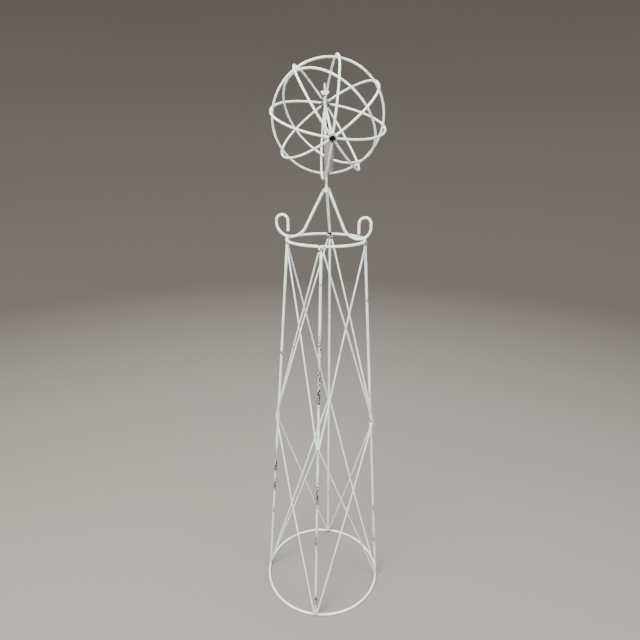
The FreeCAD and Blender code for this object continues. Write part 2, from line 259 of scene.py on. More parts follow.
def closed_grid(grid, lay, wear, wrap):
    """A skin from a grid of points.  Where its rows don't wrap, each end is closed with a fan to
    the middle of its last row."""
    rows, columns = grid.shape[:2]
    points = grid.reshape(-1, 3)
    lay = lay.reshape(-1, 3)
    wear = wear.reshape(-1)
    tris = np.zeros((0, 3), int)
    if not wrap:
        j = np.arange(columns)
        beside = (j + 1) % columns
        last = (rows - 1) * columns
        first_pole = np.full(columns, rows * columns)
        tris = np.concatenate([
            np.stack([beside, j, first_pole], -1),
            np.stack([last + j, last + beside, first_pole + 1], -1)])
        points = np.concatenate([points, [grid[0].mean(0), grid[-1].mean(0)]])
        lay = np.concatenate([lay, lay[:columns].mean(0)[None], lay[last:].mean(0)[None]])
        wear = np.concatenate([wear, wear[:1], wear[-1:]])
    return facing_out(skin(points, grid_quads(rows, columns, wrap), tris, lay, wear))


def joined(skins):
    """Several closed skins as one, with their faces renumbered."""
    counts = [len(s["points"]) for s in skins]
    starts = np.concatenate([[0], np.cumsum(counts)[:-1]])
    return {key: np.concatenate([s[key] + (at if key in ("quads", "tris") else 0)
                                 for s, at in zip(skins, starts)])
            for key in skins[0]}


def circle_angles(count):
    return np.arange(count) * 2 * np.pi / count


def path_length(path):
    """Distance along a path at each of its points."""
    gaps = np.linalg.norm(np.diff(path, axis=0), axis=1)
    return np.concatenate([[0.0], np.cumsum(gaps)])


# Unevenness of a brushed coat: wavelength along the rod, waves round it, and height, in metres.
BRUSH_WAVES = ((0.070, 0, 9e-5), (0.031, 1, 7e-5), (0.017, 2, 5e-5), (0.009, 1, 4e-5),
               (0.006, 3, 3e-5))


def brushed(along, round_angles, total, seed):
    """Height of the paint on a rod: a sum of waves along the rod that also turn round it.  Each
    wave fits the rod's length a whole number of times, so that a ring closes."""
    random = np.random.default_rng(seed)
    height = np.zeros((len(along), round_angles.size))
    for wave, turns, tall in BRUSH_WAVES:
        count = max(1, round(total / wave))
        phase = random.uniform(0, 2 * np.pi)
        share_along = along[:, None] / total
        height += tall * np.cos(2 * np.pi * count * share_along + turns * round_angles + phase)
    return height


# How far a rod wanders from its true line, in metres.
WANDER = {"ring": 0.0006, "upright": 0.0008, "wire": 0.0007, "rib": 0.0009, "ball ring": 0.0006}


def hand_bent(path, amount, seed, closed=False):
    """A path that wanders slightly, as a rod bent by hand does: three slow sine waves, each in
    its own direction, that fade out at the ends of an open path."""
    random = np.random.default_rng(seed)
    t = np.linspace(0, 1, len(path), endpoint=not closed)[:, None]
    fade = 1.0 if closed else np.sin(np.pi * t)
    moved = path.copy()
    for waves in (2, 3, 5):
        lean = unit(random.normal(size=3))
        moved += amount / waves * fade * np.sin(2 * np.pi * waves * t + random.uniform(0, 6)) * lean
    return moved


def rubbed(along, base, spots):
    """Wear along a rod: an even level, plus a bell-shaped rise at each (place, half length,
    amount)."""
    wear = np.full(len(along), float(base))
    for place, half_length, amount in spots:
        wear = wear + amount * np.exp(-((along - place) / half_length) ** 2)
    return np.clip(wear, 0, 1)


def rod(path, across, diameter, seed, closed=False, base=0.0, spots=(), coat=1.0, relief=None):
    """A round rod along a path.  Point (i, j) is path point i, plus the radius there times the
    cosine of angle j towards one side, plus the same times its sine towards the other.  Open
    ends are cut flat with a rounded edge: radius r - e (1 - cos t) at depth e (1 - sin t)."""
    if closed:
        heading = unit(np.roll(path, -1, 0) - np.roll(path, 1, 0))
        lap = np.linalg.norm(path[0] - path[-1])
        along = path_length(path)
        total = along[-1] + lap
    else:
        heading = unit(np.gradient(path, axis=0))
        along = path_length(path)
        total = along[-1]
    turn = circle_angles(SIDES)
    radius = diameter / 2 + coat * brushed(along, turn[None, :], total, seed)
    if relief is not None:
        radius = radius + relief(along[:, None], turn[None, :])
    wear = rubbed(along, base, spots)
    if not closed:
        path, heading, along, radius, wear = with_cut_ends(
            path, heading, along, radius, wear, diameter * CUT_EDGE)
    side = unit(np.cross(heading, across))
    rise = np.cross(side, heading)
    ring = (np.cos(turn)[None, :, None] * side[:, None]
            + np.sin(turn)[None, :, None] * rise[:, None])
    grid = path[:, None] + radius[..., None] * ring
    lay = np.stack(np.broadcast_arrays(along[:, None] + seed * PATTERN_SHIFT, radius * np.cos(turn),
                                       radius * np.sin(turn)), -1)
    return closed_grid(grid, lay, np.broadcast_to(wear[:, None], radius.shape), closed)


def with_cut_ends(path, heading, along, radius, wear, edge):
    """The first and last sections of a rod replaced by the few that round its cut edges."""
    t = np.linspace(np.pi / 2, 0, 5)
    depth = (edge * (1 - np.sin(t)))[:, None]
    shrink = (edge * (1 - np.cos(t)))[:, None]
    whole = slice(1, -1)
    path = np.concatenate([path[:1] + depth * heading[:1], path[whole],
                           (path[-1:] - depth * heading[-1:])[::-1]])
    heading = np.concatenate([np.repeat(heading[:1], 5, 0), heading[whole],
                              np.repeat(heading[-1:], 5, 0)])
    along = np.concatenate([along[0] + depth[:, 0], along[whole], along[-1] - depth[::-1, 0]])
    radius = np.concatenate([radius[:1] - shrink, radius[whole], radius[-1:] - shrink[::-1]])
    wear = np.concatenate([np.repeat(wear[:1], 5), wear[whole], np.repeat(wear[-1:], 5)])
    return path, heading, along, radius, wear


def wall_profile(inner, outer, low, high, edge, step):
    """A wall's section as a closed line of (radius, height): up the outside, over the rim, down
    the inside and under the foot, with an arc of radius edge at each corner."""
    arc = np.linspace(0, np.pi / 2, 4)
    corners = ((outer - edge, high - edge, 0), (inner + edge, high - edge, 1),
               (inner + edge, low + edge, 2), (outer - edge, low + edge, 3))
    tall = np.arange(low + edge, high - edge, step)[1:-1]
    up_outside = np.stack([np.full(len(tall), outer), tall], -1)
    down_inside = np.stack([np.full(len(tall), inner), tall[::-1]], -1)
    line = [up_outside]
    for index, (r, z, quarter) in enumerate(corners):
        a = arc + quarter * np.pi / 2
        line.append(np.stack([r + edge * np.cos(a), z + edge * np.sin(a)], -1))
        if index == 1:
            line.append(down_inside)
    return np.concatenate(line)


def lathe(profile, origin, axis, toward, seed, columns=64, base=0.0, inside=0.0, coat=0.0,
          height_at=None):
    """A turned wall: point (i, j) is the profile's height i along the axis, plus its radius i
    times the cosine of angle j towards one side and its sine towards the other.  height_at may
    lower the wall at each angle, as a share of its height."""
    turn = circle_angles(columns)
    toward = unit(toward - np.dot(toward, axis) * axis)
    beside = np.cross(axis, toward)
    radius = profile[:, :1] + np.zeros((1, columns))
    height = profile[:, 1:] + np.zeros((1, columns))
    middle = (profile[:, 0].min() + profile[:, 0].max()) / 2
    outside = np.clip((profile[:, :1] - middle) * 4e3, -1, 1)
    if coat:
        span = np.ptp(profile[:, 1]) + 1e-6
        radius = radius + coat * outside * brushed(profile[:, 1], turn[None, :], span, seed)
    if height_at is not None:
        low = profile[:, 1].min()
        height = low + (height - low) * height_at(turn)[None, :]
    grid = (origin + height[..., None] * axis
            + radius[..., None] * (np.cos(turn)[None, :, None] * toward
                                   + np.sin(turn)[None, :, None] * beside))
    lay = np.stack([height + seed * PATTERN_SHIFT, radius * np.cos(turn), radius * np.sin(turn)], -1)
    wear = np.where(outside > 0, base, max(base, inside)) + np.zeros((1, columns))
    return closed_grid(grid, lay, wear, True)


def bead(centre, axes, seed, wear=0.3, lumps=0.16):
    """A lump of weld: unit directions over a sphere, each pushed in or out by a few slow waves
    across it, then stretched by three axes given as the rows of a matrix."""
    random = np.random.default_rng(seed)
    lean = np.linspace(0, np.pi, 15)[1:-1, None]
    turn = circle_angles(22)[None, :]
    direction = np.stack(np.broadcast_arrays(
        np.sin(lean) * np.cos(turn), np.sin(lean) * np.sin(turn), np.cos(lean)), -1)
    push = np.ones(direction.shape[:2])
    for waves in (3.0, 5.0, 8.0):
        push += lumps * 1.6 / waves * np.cos(direction @ unit(random.normal(size=3)) * waves
                                             + random.uniform(0, 6))
    grid = centre + (direction * push[..., None]) @ np.asarray(axes)
    return closed_grid(grid, grid + seed * PATTERN_SHIFT, np.full(push.shape, wear), False)


def plan_axes(angle_degrees, outward, sideways, upward):
    """Axes of a bead at a plan angle, with its reach outwards, sideways and upwards."""
    out = polar(angle_degrees, 1.0, 0.0)
    return np.array([out * outward, np.cross(UP, out) * sideways, UP * upward])


def make_piece(name, made, body, nodes, material):
    """A mesh object from a skin, riding on a body and standing for CAD nodes."""
    mesh = bpy.data.meshes.new(name)
    quads, tris = made["quads"], made["tris"]
    mesh.vertices.add(len(made["points"]))
    mesh.vertices.foreach_set("co", made["points"].astype(np.float32).ravel())
    mesh.loops.add(quads.size + tris.size)
    corners = np.concatenate([quads.ravel(), tris.ravel()]).astype(np.int32)
    mesh.loops.foreach_set("vertex_index", corners)
    sizes = np.concatenate([np.full(len(quads), 4), np.full(len(tris), 3)]).astype(np.int32)
    mesh.polygons.add(len(sizes))
    starts = np.concatenate([[0], np.cumsum(sizes)[:-1]]).astype(np.int32)
    mesh.polygons.foreach_set("loop_start", starts)
    mesh.polygons.foreach_set("use_smooth", np.ones(len(sizes), bool))
    mesh.update(calc_edges=True)
    lay = mesh.attributes.new("lay", "FLOAT_VECTOR", "POINT")
    lay.data.foreach_set("vector", made["lay"].astype(np.float32).ravel())
    wear = mesh.attributes.new("wear", "FLOAT", "POINT")
    wear.data.foreach_set("value", made["wear"].astype(np.float32).ravel())
    mesh.validate()
    mesh.materials.append(material)
    piece = bpy.data.objects.new(name, mesh)
    bpy.context.scene.collection.objects.link(piece)
    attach(piece, body)
    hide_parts(*nodes)
    return piece


# ---- paths -------------------------------------------------------------------------

def straight(start, end, step=STEP):
    count = max(2, int(np.linalg.norm(end - start) / step) + 1)
    return start + (end - start) * np.linspace(0, 1, count)[:, None]


def arc(centre, out, forward, radius, turn, step=STEP):
    """Points centre + radius (cos t out + sin t forward), for t from 0 to turn."""
    t = np.linspace(0, turn, max(6, int(radius * turn / step) + 1))[:, None]
    return centre + radius * (np.cos(t) * out + np.sin(t) * forward)


def hoop(radius, first, second, centre, step=STEP):
    """A full circle in the plane of two unit directions."""
    t = circle_angles(int(2 * np.pi * radius / step))[:, None]
    return centre + radius * (np.cos(t) * first + np.sin(t) * second)


def rounded(points, bends):
    """Straight runs between points, with an arc of the given radius at each inner point."""
    parts = []
    at = points[0]
    for before, corner, after, bend in zip(points, points[1:], points[2:], bends):
        back = unit(before - corner)
        ahead = unit(after - corner)
        half = math.acos(float(np.clip(back @ ahead, -1, 1))) / 2
        reach = bend / math.tan(half)
        middle = unit(back + ahead)
        centre = corner + middle * (bend / math.sin(half))
        first = corner + back * reach
        parts.append(straight(at, first)[:-1])
        parts.append(arc(centre, unit(first - centre), -back, bend, math.pi - 2 * half)[:-1])
        at = corner + ahead * reach
    parts.append(straight(at, points[-1]))
    return np.concatenate(parts)


def bent_line(start, heading, stretches, step=0.001):
    """A line bent in its own plane from (length, turn) stretches: its heading is the running
    sum of the turns, and its place the running sum of steps along that heading."""
    lengths = np.array([s[0] for s in stretches])
    turns = np.array([s[1] for s in stretches])
    breaks = np.concatenate([[0.0], np.cumsum(lengths)])
    headings = heading + np.concatenate([[0.0], np.cumsum(turns)])
    count = int(breaks[-1] / step)
    middles = (np.arange(count) + 0.5) * breaks[-1] / count
    facing = np.interp(middles, breaks, headings)
    moves = np.stack([np.cos(facing), np.sin(facing)], -1) * breaks[-1] / count
    return start + np.concatenate([[[0.0, 0.0]], np.cumsum(moves, axis=0)])


def upright_radius(sizes, z):
    """Radius of an upright's middle line at a height."""
    share_up = (z - sizes.base_height) / (sizes.top_height - sizes.base_height)
    return sizes.base_radius + (sizes.top_radius - sizes.base_radius) * share_up


def beside_upright(sizes, angle_degrees, z, out, side):
    """A point near an upright: out from its middle line, and to one side of it."""
    tangent = np.cross(UP, polar(angle_degrees, 1.0, 0.0))
    return polar(angle_degrees, upright_radius(sizes, z) + out, z) + tangent * side


def knot_heights(sizes):
    return {"front": sizes.knot_height, "back": sizes.knot_height,
            "left": sizes.side_knot_height, "right": sizes.side_knot_height}


def lattice_corners(sizes, home, away):
    """A lattice wire's corners: from the head of its own upright over the first crossing, round
    the neighbouring upright, and back over the second crossing to the foot."""
    home_angle = UPRIGHT_ANGLES[home]
    away_angle = UPRIGHT_ANGLES[away]
    turn = math.sin(math.radians(away_angle - home_angle))
    beside = (sizes.rod + sizes.wire) / 2 + 0.0001
    head = beside_upright(sizes, home_angle, sizes.wire_top, 0.0, beside * turn)
    foot = beside_upright(sizes, home_angle, sizes.wire_foot, 0.0, beside * turn)
    knot = beside_upright(sizes, away_angle, knot_heights(sizes)[away], sizes.knot_out,
                          -sizes.knot_side * turn)
    step_out = sizes.wire / 2 + 0.0001
    step_out = step_out if home in ("front", "back") else -step_out
    outward = polar(home_angle + 45.0 * turn, 1.0, 0.0)
    across = np.cross(UP, outward)

    def crossing(start, end):
        part = start @ across / (start @ across - end @ across)
        return start + (end - start) * part + outward * step_out

    return [head, crossing(head, knot), knot, crossing(knot, foot), foot], outward, step_out


def lattice_pairs():
    """Every (home, away) pair of neighbouring uprights, both ways round."""
    order = list(UPRIGHT_ANGLES)
    return [(home, order[(i + way) % 4]) for i, home in enumerate(order) for way in (1, 3)]


def trough_height(tower, trough, out):
    """How far the middle of a trough bend is above the top ring that its rod rests on."""
    return math.sqrt((trough + tower.rod) ** 2 - (tower.top_radius - out) ** 2)


def roof_line(tower, roof, start_out, trough, trough_out, rise):
    """A roof rod in its own plane, as (out, up): the slope from the apex, the sweep on to the
    ring, the trough that rises outside it, and the scroll with its hanging end."""
    low_z = tower.top_height + trough_height(tower, trough, trough_out) - trough
    apex = np.array([start_out, roof.apex_height])
    dx = trough_out - apex[0]
    dz = low_z + roof.sweep_radius - apex[1]
    away = math.hypot(dx, dz)
    heading = math.atan2(dz, dx) - math.asin(roof.sweep_radius / away)
    slope = math.sqrt(away ** 2 - roof.sweep_radius ** 2)
    return bent_line(apex, heading, [
        (slope, 0.0),
        (-heading * roof.sweep_radius, -heading),
        (trough * math.pi / 2, math.pi / 2),
        (rise, 0.0),
        (roof.curl_radius * math.pi, math.pi),
        (roof.curl_tail, 0.0)])


def scroll_sizes(roof):
    """Trough radius, trough place and rise of each scrolled rod."""
    return {"left": (roof.left_trough, roof.left_out, roof.left_rise),
            "right": (roof.right_trough, roof.right_out, roof.right_rise)}


class BallFrame:
    """The ball's own directions: right and high across its polar axis, and pole along it."""

    def __init__(self, sizes):
        dip, heading = sizes.dip, sizes.heading
        self.pole = np.array([math.cos(heading) * math.cos(dip),
                              math.sin(heading) * math.cos(dip), -math.sin(dip)])
        self.right = unit(np.cross(UP, self.pole))
        self.high = np.cross(self.pole, self.right)
        self.centre = self.right * sizes.mast_offset + UP * sizes.centre_height
        self.first_rib = sizes.first_rib

    def across(self, index):
        """Direction of one rib's middle, square to the polar axis."""
        a = self.first_rib - index * 2 * math.pi / RIBS + math.radians(RIB_TRIM[index])
        return self.right * math.cos(a) + self.high * math.sin(a)


# ---- materials ------------------------------------------------------------------------

def add_node(tree, kind, inputs=None, **settings):
    """One node, with its settings, and its inputs given as values or as sockets to link."""
    made = tree.nodes.new("ShaderNode" + kind)
    for key, value in settings.items():
        setattr(made, key, value)
    for key, value in (inputs or {}).items():
        if isinstance(value, bpy.types.NodeSocket):
            tree.links.new(value, made.inputs[key])
        else:
            made.inputs[key].default_value = value
    return made


def rgba(value):
    return (*value, 1.0)


def mixed(tree, factor, first, second):
    """Two colours mixed by a factor."""
    node = add_node(tree, "Mix", {0: factor, 6: first, 7: second}, data_type="RGBA")
    return node.outputs[2]


def ramped(tree, value, low, high):
    """0 below low, 1 above high, and a smooth rise between."""
    node = add_node(tree, "MapRange", {"Value": value, "From Min": low, "From Max": high},
                    interpolation_type="SMOOTHSTEP")
    return node.outputs["Result"]


def noise_at(tree, vector, size, detail=3.0, rough=0.55):
    """Noise whose grains are about size metres across."""
    node = add_node(tree, "TexNoise", {"Vector": vector, "Scale": 1 / size, "Detail": detail,
                                       "Roughness": rough})
    return node.outputs["Fac"]


CHIP_LEVEL = 0.705         # noise above this, less the wear, is a chip
CHIP_REACH = 0.42          # how far full wear lowers that level


def painted_steel(name, chip_size, extra_wear=0.0, gloss=0.42, fresh=None, aged=None):
    """Brush-painted mild steel: off-white enamel, chalked unevenly, that has chipped through to
    dry rust with dark scale in the middle of each chip, and a brown stain round it."""
    look = bpy.context.scene.obelisk_paint
    material = bpy.data.materials.new(name)
    material.use_nodes = True
    tree = material.node_tree
    tree.nodes.clear()
    lay = add_node(tree, "Attribute", attribute_name="lay").outputs["Vector"]
    wear = add_node(tree, "Attribute", attribute_name="wear").outputs["Fac"]
    long_way = add_node(tree, "Mapping", {"Vector": lay, "Scale": (0.5, 1.0, 1.0)})
    brush_way = add_node(tree, "Mapping", {"Vector": lay, "Scale": (0.04, 1.0, 1.0)})

    # Chips are about chip_size across, twice as long along the rod, with ragged edges.
    chips = noise_at(tree, long_way.outputs[0], chip_size, detail=6.0, rough=0.62)
    # Rubbed stretches come and go over about 60 mm.
    patches = noise_at(tree, lay, 0.060, detail=2.0)
    rub = add_node(tree, "Math", {0: wear, 1: extra_wear}, operation="ADD").outputs[0]
    uneven = add_node(tree, "Math", {0: patches, 1: 0.25, 2: -0.125},
                      operation="MULTIPLY_ADD").outputs[0]
    raised = add_node(tree, "Math", {0: rub, 1: CHIP_REACH, 2: chips},
                      operation="MULTIPLY_ADD").outputs[0]
    level = add_node(tree, "Math", {0: raised, 1: uneven}, operation="ADD").outputs[0]
    edge = CHIP_LEVEL - 0.04 * (look.chips - 0.5)
    bare = ramped(tree, level, edge, edge + 0.012)
    stained = ramped(tree, level, edge - 0.10, edge + 0.01)
    deep = ramped(tree, level, edge + 0.02, edge + 0.12)

    # Chalking varies over about 90 mm; brush marks are 1.6 mm apart, drawn out along the rod.
    chalk = ramped(tree, noise_at(tree, lay, 0.090, detail=4.0), 0.35, 0.70)
    marks = noise_at(tree, brush_way.outputs[0], 0.0016, detail=2.0)
    coat = mixed(tree, chalk, rgba(fresh or look.paint), rgba(aged or look.aged))
    tinted = add_node(tree, "Math", {0: stained, 1: 0.45}, operation="MULTIPLY").outputs[0]
    coat = mixed(tree, tinted, coat, rgba(look.stain))

    # Rust is mottled in grains of 1.2 mm.
    grain = noise_at(tree, lay, 0.0012, detail=4.0, rough=0.7)
    rust = mixed(tree, ramped(tree, grain, 0.45, 0.75), rgba(look.scale), rgba(look.rust))
    rust = mixed(tree, deep, rust, rgba(look.scale))
    surface = mixed(tree, bare, coat, rust)

    rough = add_node(tree, "MapRange", {"Value": bare, "To Min": gloss, "To Max": 0.9})
    # A chip is a step of 0.15 mm down to the steel; grain and brush marks are much shallower.
    step_down = add_node(tree, "Bump", {"Height": bare, "Distance": 0.00015, "Strength": 0.9},
                         invert=True)
    fine = add_node(tree, "Math", {0: grain, 1: bare}, operation="MULTIPLY").outputs[0]
    both = add_node(tree, "Math", {0: marks, 1: 0.5, 2: fine}, operation="MULTIPLY_ADD").outputs[0]
    bump = add_node(tree, "Bump", {"Height": both, "Distance": 0.00008, "Strength": 0.6,
                                   "Normal": step_down.outputs[0]})
    shader = add_node(tree, "BsdfPrincipled", {
        "Base Color": surface, "Roughness": rough.outputs[0], "Normal": bump.outputs[0],
        "IOR": 1.5})
    add_node(tree, "OutputMaterial", {"Surface": shader.outputs[0]})
    return material


def rod_enamel():
    """Enamel over rods of 6 to 8 mm: chips of about 3.5 mm, dark against the paint."""
    return painted_steel("Chipped enamel on rod", 0.0035)


def wire_enamel():
    """Enamel over the thinner wires: chips of about 2.8 mm."""
    return painted_steel("Chipped enamel on wire", 0.0028)


def weld_enamel():
    """Enamel over rough weld, where it bridges pits and lets rust through early."""
    return painted_steel("Chipped enamel on weld", 0.0040, extra_wear=0.08, gloss=0.55)


def rusted_pipe():
    """Pipe whose enamel has worn to a thin grey-beige skin over weathered steel."""
    look = bpy.context.scene.obelisk_paint
    return painted_steel("Worn enamel on pipe", 0.0060, gloss=0.6,
                         fresh=tuple(look.pipe), aged=tuple(look.worn_pipe))


def fastener_enamel():
    """Nut and washer that were painted over in place: their edges are rubbed."""
    return painted_steel("Painted fastener", 0.0025, extra_wear=0.02, gloss=0.5)


MATERIALS = {"painted_rod": rod_enamel, "painted_wire": wire_enamel, "weld_metal": weld_enamel,
             "weathered_tube": rusted_pipe, "plated_hardware": fastener_enamel}


made_materials = {}


def material_for(slot):
    """The material of a slot, made when it is first asked for."""
    if slot not in made_materials:
        made_materials[slot] = MATERIALS[slot]()
    return made_materials[slot]


def leaned(made):
    """The same skin turned with the mast's lean: a plain turn about the roof's apex."""
    scene = bpy.context.scene
    c, s = math.cos(scene.obelisk_mast.lean), math.sin(scene.obelisk_mast.lean)
    pivot = UP * scene.obelisk_roof.apex_height
    turn = np.array([[c, 0.0, -s], [0.0, 1.0, 0.0], [s, 0.0, c]])
    return {**made, "points": pivot + (made["points"] - pivot) @ turn.T}


def finish_leaned(node, made, body, slot):
    """A finished piece that follows the mast's lean."""
    return finish_piece(node, leaned(made), body, slot)


def finish_piece(node, made, body, slot):
    """A finished piece named after the CAD node that it stands for."""
    return make_piece(node + "_finished", made, body, [node], material_for(slot))


# ---- operators: one for each piece or group of like pieces --------------------------------

# Where the paint is rubbed off an upright: height, half length and amount.
UPRIGHT_WEAR = {
    "front": ((0.060, 0.030, 0.55), (0.29, 0.05, 0.52), (0.47, 0.07, 0.60), (0.60, 0.03, 0.35),
              (0.80, 0.035, 0.62), (0.87, 0.04, 0.52), (0.97, 0.05, 0.50), (1.149, 0.015, 0.42)),
    "left": ((0.252, 0.015, 0.45), (0.36, 0.03, 0.55), (0.44, 0.035, 0.62), (0.50, 0.03, 0.45),
             (0.882, 0.012, 0.50)),
    "right": ((0.16, 0.03, 0.50), (0.30, 0.03, 0.45), (0.656, 0.02, 0.35), (0.749, 0.012, 0.35),
              (1.07, 0.02, 0.45)),
    "back": ((0.20, 0.05, 0.25), (0.95, 0.06, 0.25)),
}


class OBELISK_OT_rings(bpy.types.Operator):
    """Base ring and top ring of the tower"""
    bl_idname = "obelisk.rings"
    bl_label = "Rings"

    def execute(self, context):
        sizes = context.scene.obelisk_tower
        x, y = np.array([1.0, 0.0, 0.0]), np.array([0.0, 1.0, 0.0])
        for seed, (node, radius, z, base) in enumerate((
                ("base_ring", sizes.base_radius, sizes.base_height, 0.04),
                ("top_ring", sizes.top_radius, sizes.top_height, 0.10)), 1):
            path = hand_bent(hoop(radius, y, -x, UP * z), WANDER["ring"], seed, closed=True)
            lap = 2 * math.pi * radius
            quarters = [(lap * k / 4, 0.012, 0.22) for k in range(1, 4)]
            made = rod(path, UP, sizes.rod, seed, closed=True, base=base,
                       spots=quarters + [(0.0, 0.014, 0.5), (lap, 0.014, 0.5)])
            finish_piece(node, made, "tower", "painted_rod")
        return {"FINISHED"}


class OBELISK_OT_uprights(bpy.types.Operator):
    """Four straight uprights between the rings"""
    bl_idname = "obelisk.uprights"
    bl_label = "Uprights"

    def execute(self, context):
        sizes = context.scene.obelisk_tower
        for seed, (side, place) in enumerate(UPRIGHT_ANGLES.items(), 11):
            foot = polar(place, sizes.base_radius, sizes.base_height)
            head = polar(place, sizes.top_radius, sizes.top_height)
            path = hand_bent(straight(foot, head), WANDER["upright"], seed)
            tangent = np.cross(UP, polar(place, 1.0, 0.0))
            made = rod(path, tangent, sizes.rod, seed, base=0.03, spots=UPRIGHT_WEAR[side])
            finish_piece("upright_" + side, made, "tower", "painted_rod")
        return {"FINISHED"}


class OBELISK_OT_lattice(bpy.types.Operator):
    """Eight thin wires that bend round the neighbouring uprights"""
    bl_idname = "obelisk.lattice"
    bl_label = "Lattice wires"

    def execute(self, context):
        sizes = context.scene.obelisk_tower
        for seed, (home, away) in enumerate(lattice_pairs(), 21):
            corners, outward, _ = lattice_corners(sizes, home, away)
            path = rounded(corners, [sizes.cross_bend, sizes.knot_bend, sizes.cross_bend])
            path = hand_bent(path, WANDER["wire"], seed)
            total = path_length(path)[-1]
            spots = [(total * part, 0.012, 0.25) for part in (0.25, 0.5, 0.75)]
            made = rod(path, outward, sizes.wire, seed, base=0.02, spots=spots, coat=0.8)
            finish_piece(f"lattice_{home}_to_{away}", made, "tower", "painted_wire")
        return {"FINISHED"}


class OBELISK_OT_roof(bpy.types.Operator):
    """Two roof rods that end in scrolls, and a straight one at the back"""
    bl_idname = "obelisk.roof"
    bl_label = "Roof rods"

    def execute(self, context):
        scene = context.scene
        tower, roof = scene.obelisk_tower, scene.obelisk_roof
        start_out = scene.obelisk_mast.rod / 2 + tower.rod / 2 - roof.apex_sink
        for seed, (side, sizes) in enumerate(scroll_sizes(roof).items(), 31):
            line = roof_line(tower, roof, start_out, *sizes)
            out = polar(SCROLL_ANGLES[side], 1.0, 0.0)
            path = line[:, :1] * out + line[:, 1:] * UP
            made = rod(path, np.cross(UP, out), tower.rod, seed, base=0.10,
                       spots=((0.0, 0.012, 0.35), (0.190, 0.012, 0.25)))
            finish_piece("roof_rod_" + side, made, "tower", "painted_rod")
        path = straight(polar(BACK_ANGLE, start_out, roof.apex_height),
                        polar(BACK_ANGLE, tower.top_radius, tower.top_height))
        made = rod(path, np.array([1.0, 0.0, 0.0]), tower.rod, 33, base=0.0,
                   spots=((0.0, 0.012, 0.35), (path_length(path)[-1], 0.02, 0.6)))
        finish_piece("roof_rod_back", made, "tower", "painted_rod")
        return {"FINISHED"}


class OBELISK_OT_mast(bpy.types.Operator):
    """Mast with its threaded tip, and the collar that the ball stands on"""
    bl_idname = "obelisk.mast"
    bl_label = "Mast and collar"

    def execute(self, context):
        sizes = context.scene.obelisk_mast
        shank = straight(UP * sizes.foot, UP * sizes.shoulder, 0.0015)
        tip = straight(UP * sizes.shoulder, UP * sizes.tip, sizes.pitch / 6)
        path = np.concatenate([shank, tip[1:]])
        root = (sizes.thread - sizes.rod) / 2

        def relief(along, turn):
            """A thread: its depth follows a triangle wave of height over pitch less turn."""
            height = along + sizes.foot
            phase = (height / sizes.pitch - turn / (2 * np.pi)) % 1
            cut = root - sizes.thread_depth * np.abs(2 * phase - 1)
            run_out = np.clip((height - sizes.shoulder) / (2 * sizes.pitch), 0, 1)
            return np.where(height > sizes.shoulder, cut * run_out + root * (1 - run_out), 0.0)

        made = rod(path, np.array([0.0, 1.0, 0.0]), sizes.rod, 41, base=0.0, coat=0.4,
                   spots=((sizes.tip - sizes.foot, 0.010, 0.15),), relief=relief)
        finish_leaned("mast", made, "tower", "painted_rod")
        self.disc("mast_collar", (sizes.rod, sizes.collar), sizes.collar_height,
                  sizes.collar_thick, 42, "weathered_tube")
        self.disc("wing_nut_washer", (sizes.thread, sizes.washer), sizes.shoulder,
                  sizes.washer_thick, 43, "plated_hardware")
        return {"FINISHED"}

    def disc(self, node, diameters, low, thick, seed, slot):
        """A flat ring on the mast, from its inner and outer diameters."""
        profile = wall_profile(diameters[0] / 2, diameters[1] / 2, low, low + thick, 0.0005, 0.0005)
        made = lathe(profile, np.zeros(3), UP, np.array([1.0, 0.0, 0.0]), seed, base=0.2,
                     inside=0.4)
        finish_leaned(node, made, "tower", slot)


def wing(centre, lean, reach, sizes):
    """One wing of the nut: a flattened sphere whose cosines and sines are raised to a low power,
    which squares it off, leaning outwards from the hub."""
    tall = np.linspace(-np.pi / 2, np.pi / 2, 17)[1:-1, None]
    turn = circle_angles(32)[None, :]

    def squared(value):
        return np.sign(value) * np.abs(value) ** 0.7

    flat = np.stack(np.broadcast_arrays(
        squared(np.cos(tall)) * squared(np.cos(turn)) * reach[0],
        squared(np.cos(tall)) * squared(np.sin(turn)) * sizes.wing_thick / 2,
        squared(np.sin(tall)) * reach[1]), -1)
    out = np.array([math.cos(lean), 0.0, -math.sin(lean)])
    rise = np.array([math.sin(lean), 0.0, math.cos(lean)])
    grid = centre + flat @ np.array([out, [0.0, 1.0, 0.0], rise])
    return closed_grid(grid, grid, np.full(grid.shape[:2], 0.08), False)


class OBELISK_OT_wing_nut(bpy.types.Operator):
    """Wing nut that holds the ball down on the mast"""
    bl_idname = "obelisk.wing_nut"
    bl_label = "Wing nut"

    def execute(self, context):
        sizes = context.scene.obelisk_mast
        half_span = sizes.nut_span / 2
        x = np.array([1.0, 0.0, 0.0])
        profile = wall_profile(sizes.thread / 2 + 0.00005, sizes.nut_hub / 2, sizes.nut_height,
                               sizes.nut_height + sizes.nut_tall, 0.0006, 0.0005)
        parts = [lathe(profile, np.zeros(3), UP, x, 44, base=0.05, inside=0.6)]
        middle = sizes.nut_height + sizes.nut_tall / 2
        for way in (1, -1):
            centre = UP * (middle + 0.0008) + x * way * half_span * 0.60
            parts.append(wing(centre, way * math.radians(24), (half_span * 0.36, 0.0044), sizes))
        finish_leaned("wing_nut", joined(parts), "wing_nut", "plated_hardware")
        return {"FINISHED"}


